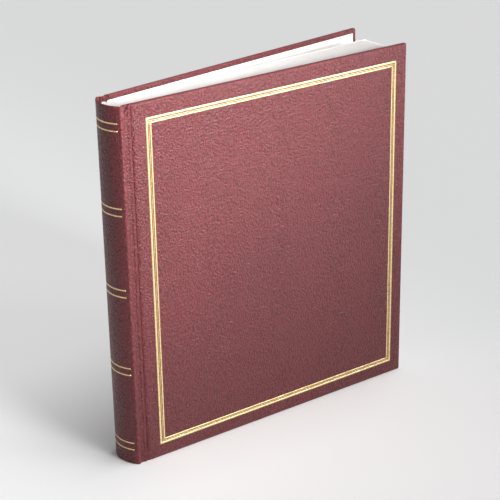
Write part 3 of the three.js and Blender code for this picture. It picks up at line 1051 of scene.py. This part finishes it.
def pocket_strips(low, high):
    """The strips of a leaf whose card fills a box, on both faces."""
    pitch = (high.z - low.z) / pocket_rows
    foot = low.z + pitch / 2 - pocket_height / 2
    face = (low.y + high.y) / 2 + card_half + film_body
    rows = [foot, foot + pocket_weld, foot + pocket_height]
    strips = upright_line("pocket_strips", low.x + strip_start, face, rows)
    pull_along([(low.x + strip_start, face), (high.x - strip_end, face)])
    face_outwards(strips, lambda point: Vector((0, 1, 0)))
    select_where(strips, "VERT", lambda vertex: vertex.co.z > rows[1] + MM)
    bpy.ops.transform.translate(value=(0, mouth, 0))
    done_editing(strips, 30)
    finish_modifier(strips, "SOLIDIFY", thickness=film_body, offset=-1)
    finish_modifier(
        strips, "ARRAY", count=pocket_rows, use_relative_offset=False, use_constant_offset=True,
        constant_offset_displace=(0, 0, pitch),
    )
    strips.data.transform(Matrix.Translation((0, -(low.y + high.y) / 2, 0)))
    finish_modifier(strips, "MIRROR", use_axis=(False, True, False), use_mirror_merge=False)
    bpy.ops.object.mode_set(mode="EDIT")
    bpy.ops.mesh.select_all(action="SELECT")
    bpy.ops.mesh.normals_make_consistent(inside=False)
    bpy.ops.object.mode_set(mode="OBJECT")
    return strips


leaf_nodes = sorted(node for node in frame["nodes"] if node.startswith("leaf_"))
leaf_box = {node: shut_box(node) for node in leaf_nodes}
one_set = pocket_strips(*leaf_box[leaf_nodes[0]])
print("one set of strips:", len(one_set.data.polygons), "faces")


# %% [markdown]
# A card is a thin block with rounded corners at the fore edge. Its strips are a copy of the one set,
# moved to the card's own place and fitted in length on the side of the fold.

# %% The cards, each with its strips
def leaf_card_piece(node):
    low, high = (corner_point.copy() for corner_point in leaf_box[node])
    middle = (low.y + high.y) / 2
    low.y, high.y = middle - card_half, middle + card_half
    sheet = add_block(f"{node}_card", low, high)
    select_where(sheet, "EDGE", lambda edge: spans(edge, 1, 0.1 * MM) and edge.verts[0].co.x > 0)
    bpy.ops.mesh.bevel(offset=1.5 * MM, segments=4, affect="EDGES")
    bpy.ops.mesh.select_all(action="SELECT")
    bpy.ops.mesh.bevel(offset=0.05 * MM, segments=1, affect="EDGES")
    done_editing(sheet, 30)
    return sheet


def fitted_strips(node):
    low, high = leaf_box[node]
    strips = one_set.copy()
    strips.data = one_set.data.copy()
    strips.name = f"{node}_pockets"
    bpy.context.scene.collection.objects.link(strips)
    lengthened = low.x - leaf_box[leaf_nodes[0]][0].x
    for vertex in strips.data.vertices:
        vertex.co += Vector((lengthened if vertex.co.x < 0 else 0, (low.y + high.y) / 2, 0))
    return strips


for node in leaf_nodes:
    sheet, strips = leaf_card_piece(node), fitted_strips(node)
    body = frame["nodes"][node]["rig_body"]
    for piece in (sheet, strips):
        open_to_rest(piece, body)
    hand_over(sheet, body, leaf_card, "stock_card", node)
    hand_over(strips, body, film, "stock_card")
bpy.data.objects.remove(one_set)
print(len(leaf_nodes), "leaves")

# %% [markdown]
# ## The guards
#
# The leaves fold from stubs that are glued together behind, which make the block as thick at the spine
# as at the fore edge. There is one stub for each leaf and a thin one for each endpaper. Behind, each
# follows the round of the spine, and in front it ends in a soft fold just before its leaf.

# %% Guard stubs
guard_low, guard_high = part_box("guard_block")
guard_radius = spine_centre.x - guard_low.x
leaf_pitch = leaf_box[leaf_nodes[1]][0].y - leaf_box[leaf_nodes[0]][0].y
stub_gap, fold_gap = 0.1 * MM, 0.35 * MM


def guard_stub(number, middle, thickness, fold_x):
    low = Vector((spine_centre.x - guard_radius, middle - thickness / 2, guard_low.z))
    high = Vector((fold_x - fold_gap, middle + thickness / 2, guard_high.z))
    stub = add_block(f"guard_{number:02d}", low, high)
    in_front = low.x + MM
    select_where(stub, "EDGE", lambda edge: spans(edge, 2, MM) and edge.verts[0].co.x > in_front)
    bpy.ops.mesh.bevel(offset=thickness * 0.3, segments=2, affect="EDGES")
    for y in (low.y, high.y):
        back = spine_centre.x - math.sqrt(guard_radius**2 - (y - middle_y) ** 2)
        select_where(stub, "VERT", lambda v: abs(v.co.x - low.x) < 1e-6 and abs(v.co.y - y) < 1e-6)
        bpy.ops.transform.translate(value=(back - low.x, 0, 0))
    done_editing(stub, 40)
    return stub


stubs = []
for number, node in enumerate(leaf_nodes, 1):
    low, high = leaf_box[node]
    stubs.append(guard_stub(number, (low.y + high.y) / 2, leaf_pitch - stub_gap, low.x))
edge_room = guard_high.y - middle_y - len(leaf_nodes) / 2 * leaf_pitch
for number, side in enumerate(SIDES, len(leaf_nodes) + 1):
    middle = middle_y + SIDES[side] * (guard_high.y - middle_y - edge_room / 2)
    stubs.append(guard_stub(number, middle, edge_room, shut_box(f"{side}_flyleaf")[0].x))
deselect()
for stub in stubs:
    stub.select_set(True)
bpy.context.view_layer.objects.active = stubs[0]
bpy.ops.object.join()
guards = bpy.context.object
guards.name = "guards"
print("guards:", len(stubs), "stubs,", len(guards.data.polygons), "faces")
hand_over(guards, "binding", guard_paper, "white_paper", "guard_block")

# %% [markdown]
# ## The pieces that stay as they are
#
# Boards, foam, linings, endpapers and interleaves are flat sheets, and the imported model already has
# their true shape. They only get their own materials.

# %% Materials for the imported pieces
finishes = {
    "_board": greyboard,
    "_pad": foam,
    "spine_inlay": greyboard,
    "spine_lining": linen,
    "_hinge_cloth": linen,
    "_pastedown": endpaper,
    "_flyleaf": endpaper,
    "interleaf_": glassine,
}
for name, node in frame["nodes"].items():
    for part_of_name, material in finishes.items():
        if part_of_name in name:
            for material_slot in node.material_slots:
                material_slot.material = material
print("finished", sum(any(key in name for key in finishes) for name in frame["nodes"]), "packed pieces")
